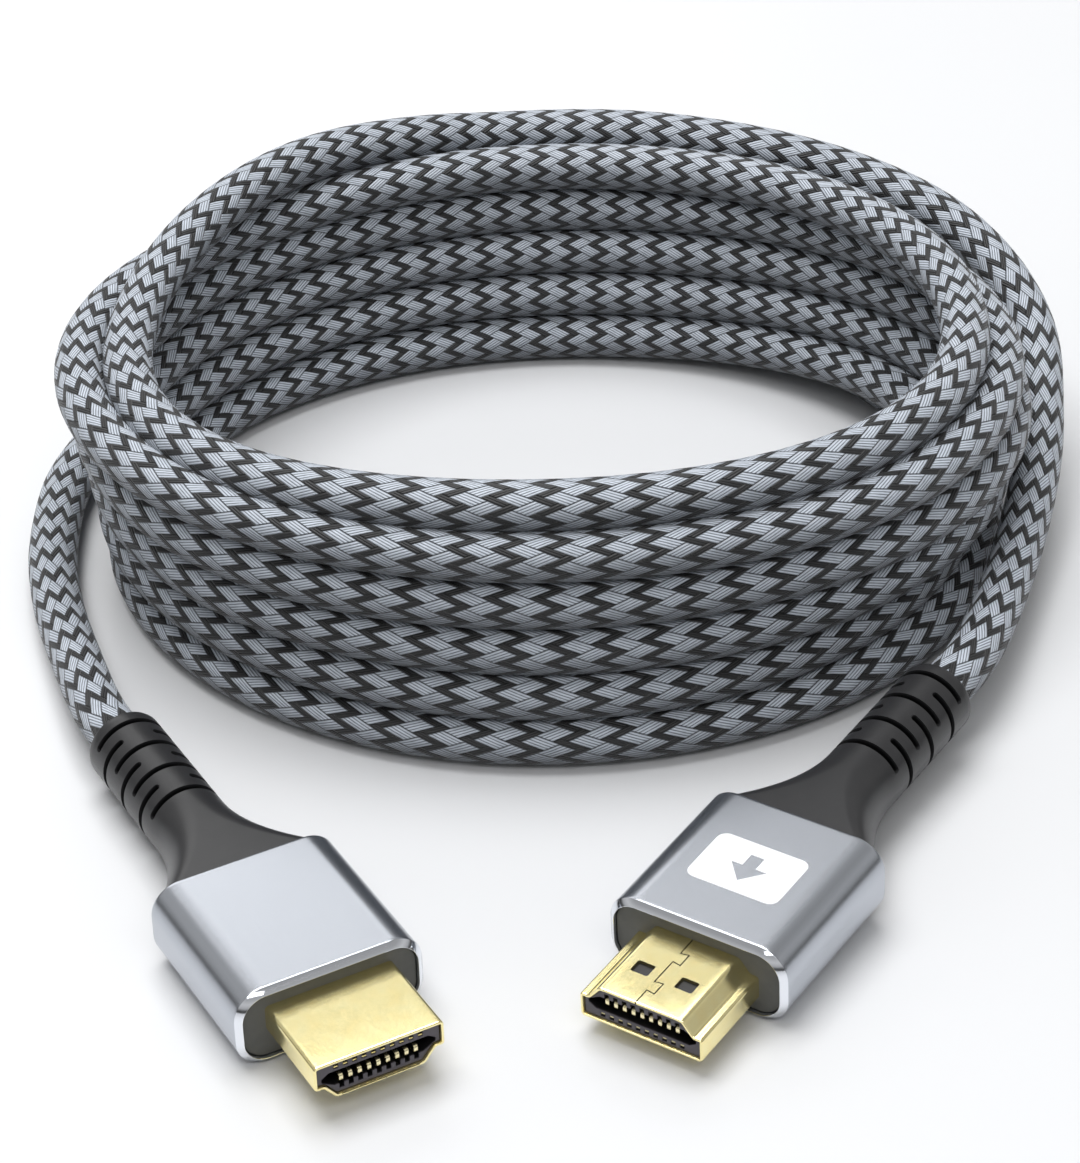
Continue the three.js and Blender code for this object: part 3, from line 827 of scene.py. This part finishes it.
def badge_meshes():
    """A plain printed panel, and on it an arrow that shows which way the plug goes in."""
    top = HOUSING_HEIGHT / 2
    panel = rounded_outline(rectangle(*BADGE_SIZE), [BADGE_CORNER] * 4, steps=8) + BADGE_PLACE
    arrow = np.array([(0, -2.1), (2.0, 0.2), (0.75, 0.2), (0.75, 2.0), (-0.75, 2.0), (-0.75, 0.2), (-2.0, 0.2)])
    arrow = arrow + BADGE_PLACE
    return (lofted("badge", [upright(panel, z) for z in (top - 0.05, top + 0.012)]),
            lofted("badge_arrow", [upright(arrow, z) for z in (top - 0.02, top + 0.02)]))


PLUG_MESHES = {"housing": housing_mesh(), "face_plate": plate_mesh(), "shell": shell_mesh(),
               "contact_carrier": carrier_mesh(), "strain_relief": relief_mesh()}
CONTACT_MESHES = {row: contacts_mesh(row) for row in ROWS}
LOOKS = {"housing": ((ALUMINIUM, POLISHED), "aluminium"), "face_plate": ((PLATE,), "insulator"),
         "shell": ((GOLD, SHADOW), "gold"), "contact_carrier": ((INSULATOR,), "insulator"),
         "strain_relief": ((RUBBER,), "rubber")}


def place_piece(name, mesh, side, finishes, slot, *nodes):
    piece = add_object(name, mesh.copy())
    piece.data.name = name
    for finish in finishes:
        piece.data.materials.append(finish)
    piece.matrix_world = PLUGS[side]
    bpy.context.view_layer.update()
    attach(piece, "root")
    if nodes:
        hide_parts(*nodes)
    return piece


plug_pieces = {"right": [], "left": []}
for side in PLUGS:
    for part, mesh in PLUG_MESHES.items():
        finishes, slot = LOOKS[part]
        plug_pieces[side].append(place_piece(f"{side}_{part}_detail", mesh, side, finishes, slot, f"{side}_{part}"))
    for row, mesh in CONTACT_MESHES.items():
        nodes = [f"{side}_contact_{row}_{k + 1}" for k in range(ROWS[row])]
        plug_pieces[side].append(place_piece(f"{side}_contacts_{row}", mesh, side, (CONTACT,), "contacts", *nodes))

badge, arrow = badge_meshes()
place_piece("right_badge", badge, "right", (PRINT,), "insulator")
place_piece("right_badge_arrow", arrow, "right", (ALUMINIUM,), "aluminium")

# Studio.

FLOOR_REACH = 3
# The floor lies a little low, apart from the flat faces that rest on it.
FLOOR_HEIGHT = -0.00005
floor_mesh = bpy.data.meshes.new("floor")
floor_corners = [(x * FLOOR_REACH, y * FLOOR_REACH, 0) for x, y in ((-1, -1), (1, -1), (1, 1), (-1, 1))]
floor_mesh.from_pydata(floor_corners, [], [(0, 1, 2, 3)])
floor_look = Graph("floor")
floor_look.set(Base_Color=rgb(221, 222, 224), Roughness=0.28)
floor_look.shader.inputs["Specular IOR Level"].default_value = 0.35
floor = add_object("floor", floor_mesh, floor_look.material)
floor.location.z = FLOOR_HEIGHT
floor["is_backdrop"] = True

# Brightness of the room by height above the horizon, from straight down (-1) to straight up (1).
ROOM = [(0.0, 0.3), (0.49, 0.25), (0.515, 0.04), (0.56, 0.06), (0.62, 0.4), (0.72, 0.55), (0.85, 0.35), (1.0, 0.3)]
world = bpy.data.worlds.new("studio")
bpy.context.scene.world = world
world.use_nodes = True
nodes, links = world.node_tree.nodes, world.node_tree.links
split = nodes.new("ShaderNodeSeparateXYZ")
links.new(nodes.new("ShaderNodeTexCoord").outputs["Generated"], split.inputs[0])
rise = nodes.new("ShaderNodeMapRange")
rise.inputs["From Min"].default_value = -1
links.new(split.outputs[2], rise.inputs[0])
ramp = nodes.new("ShaderNodeValToRGB")
links.new(rise.outputs[0], ramp.inputs[0])
for k, (place, level) in enumerate(ROOM):
    stop = ramp.color_ramp.elements[k] if k < 2 else ramp.color_ramp.elements.new(place)
    stop.position, stop.color = place, (level, level, level, 1)
links.new(ramp.outputs[0], nodes["Background"].inputs[0])


def add_light(name, spot, aim, size, watts):
    light = bpy.data.lights.new(name, "AREA")
    light.shape = "RECTANGLE"
    light.size, light.size_y = size
    light.energy = watts
    made = bpy.data.objects.new(name, light)
    made.location = spot
    made.rotation_euler = (Vector(aim) - Vector(spot)).to_track_quat("-Z", "Y").to_euler()
    bpy.context.scene.collection.objects.link(made)


add_light("overhead", (-0.15, 0.2, 1.1), (0, 0, 0), (0.9, 0.7), 12.5)
add_light("back", (-0.5, 1.5, 0.95), (0, 0, 0), (1.3, 0.7), 4)
add_light("front", (0.1, -0.8, 1.15), (0, 0, 0), (1.2, 0.3), 4)

def plain(value):
    return [plain(v) for v in value] if hasattr(value, "__len__") else float(value)
{"cad": plain(CAD_BOX), "visual": plain(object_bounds())}
